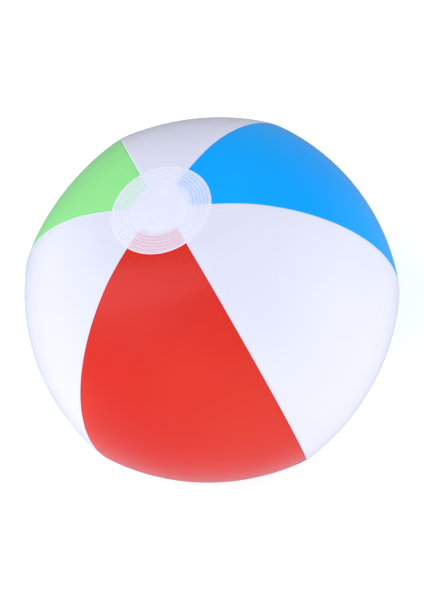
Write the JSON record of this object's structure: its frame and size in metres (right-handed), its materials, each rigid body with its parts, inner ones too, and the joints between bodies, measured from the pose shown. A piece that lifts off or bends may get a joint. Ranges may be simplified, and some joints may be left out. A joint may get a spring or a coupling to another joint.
{
  "type": "inflatable beach ball",
  "caption": "Blown-up vinyl beach ball of coloured and white panels lap-welded from pole to pole, with a round disc at each pole and a push-in air valve with its own plug.",
  "frame": {"origin": "centre of the ball, halfway between the end discs", "axes": "+Z through the centre of the top end disc, -Y through the middle of the red panel; the valve is low in the white panel that faces +Y"},
  "size_m": [0.3358, 0.3266, 0.2926],
  "materials": {
    "red_vinyl": "glossy film",
    "blue_vinyl": "glossy film",
    "green_vinyl": "glossy film",
    "white_vinyl": "glossy film, slightly see-through",
    "clear_vinyl": "glossy milky film that shows what is under it",
    "valve_vinyl": "soft moulded vinyl"
  },
  "bodies": {
    "ball": {"red_panel": "red_vinyl", "blue_panel": "blue_vinyl", "green_panel": "green_vinyl", "white_panel_red_blue": "white_vinyl", "white_panel_blue_green": "white_vinyl", "white_panel_green_red": "white_vinyl", "top_end_disc": "clear_vinyl", "bottom_end_disc": "clear_vinyl", "valve_flange": "valve_vinyl", "valve_skirt": "valve_vinyl"},
    "valve": {"valve_stem": "valve_vinyl"},
    "plug": {"valve_plug": "valve_vinyl", "plug_strap": "valve_vinyl"},
    "flap": {"check_flap": "valve_vinyl"}
  },
  "joints": [
    {"name": "valve_press", "type": "slide", "parent": "ball", "child": "valve", "axis": [0, 0.866, -0.5], "range_m": [0, 0.012], "deforming": ["valve_skirt"]},
    {"name": "plug_swing", "type": "hinge", "parent": "valve", "child": "plug", "pos_m": [0.012, 0.14506, -0.0748], "axis": [0, -0.5, -0.866], "range_deg": [0, 150]},
    {"name": "flap_swing", "type": "hinge", "parent": "valve", "child": "flap", "pos_m": [0.0049, 0.13228, -0.06742], "axis": [0, 0.5, 0.866], "range_deg": [0, 70]}
  ]
}
